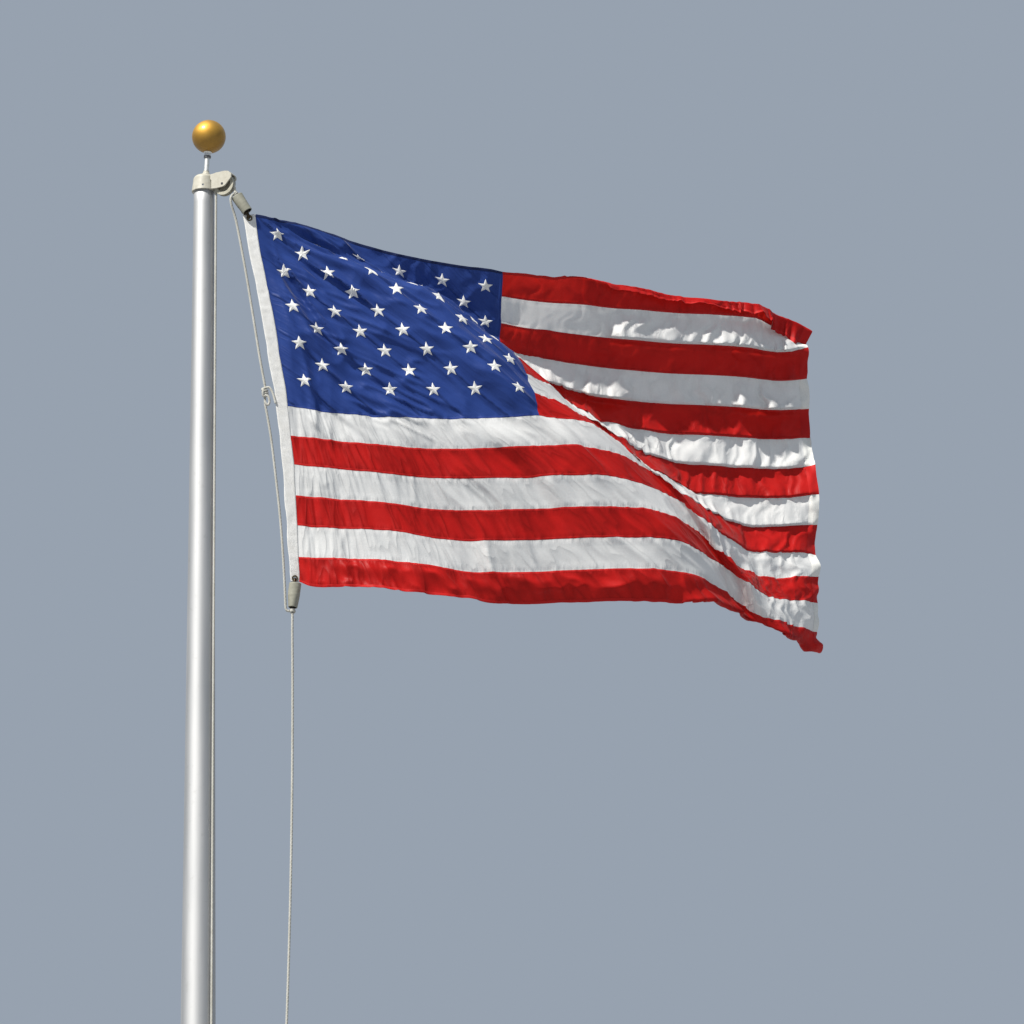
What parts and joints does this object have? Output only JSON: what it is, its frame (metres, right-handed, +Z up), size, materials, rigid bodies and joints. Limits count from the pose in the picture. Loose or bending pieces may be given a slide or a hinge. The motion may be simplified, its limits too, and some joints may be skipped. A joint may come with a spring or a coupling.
{
  "type": "flagpole",
  "caption": "Tapered aluminium flagpole with ball finial, one-sheave cap truck, external halyard with sleeved snap hooks, a stars-and-stripes flag, cleat and flash collar.",
  "frame": {"origin": "middle of the pole's foot, at ground level", "axes": "+Z up along the pole, +X the way the flag flies, -Y the side that the flag is seen from"},
  "size_m": [2.4856, 1.1627, 7.8665],
  "materials": {
    "pole_aluminium": "satin, directionally sanded",
    "spun_aluminium": "satin, spun",
    "cast_metal": "off-white coated casting",
    "steel": "bright",
    "rod_aluminium": "turned",
    "sheave_nylon": "moulded",
    "gold_anodized": "gold anodized, bright",
    "halyard": "braided cord",
    "bronze": "weathered",
    "snap_cover": "matt sleeve",
    "canvas": "woven canvas tape",
    "grommet_brass": "rolled",
    "flag_nylon": "dyed woven nylon with slight sheen"
  },
  "bodies": {
    "root": {"pole_shaft": "pole_aluminium", "flash_collar": "spun_aluminium", "truck_body": "cast_metal", "truck_set_screws": "steel", "sheave_pin": "steel", "sheave_pin_nut": "steel", "finial_boss": "cast_metal", "finial_spindle": "rod_aluminium", "finial_lock_nut": "rod_aluminium", "finial_collar": "rod_aluminium", "finial_ball": "gold_anodized", "halyard_hoist_line": "halyard", "halyard_top_knot": "halyard", "halyard_slack_upper": "halyard", "halyard_middle_knot": "halyard", "halyard_slack_lower": "halyard", "halyard_bottom_knot": "halyard", "halyard_down_line": "halyard", "halyard_hitch": "halyard", "top_snap_hook": "bronze", "bottom_snap_hook": "bronze", "top_snap_cover": "snap_cover", "bottom_snap_cover": "snap_cover", "flag_heading": "canvas", "top_grommet": "grommet_brass", "bottom_grommet": "grommet_brass", "flag_cloth": "flag_nylon", "cleat": "cast_metal", "cleat_screws": "steel"},
    "sheave_wheel": {"sheave": "sheave_nylon"}
  },
  "joints": [
    {"name": "sheave_spin", "type": "hinge", "parent": "root", "child": "sheave_wheel", "pos_m": [0.07976, -0.03719, 7.5956], "axis": [-0.4226, -0.9063, 0], "continuous": true}
  ]
}
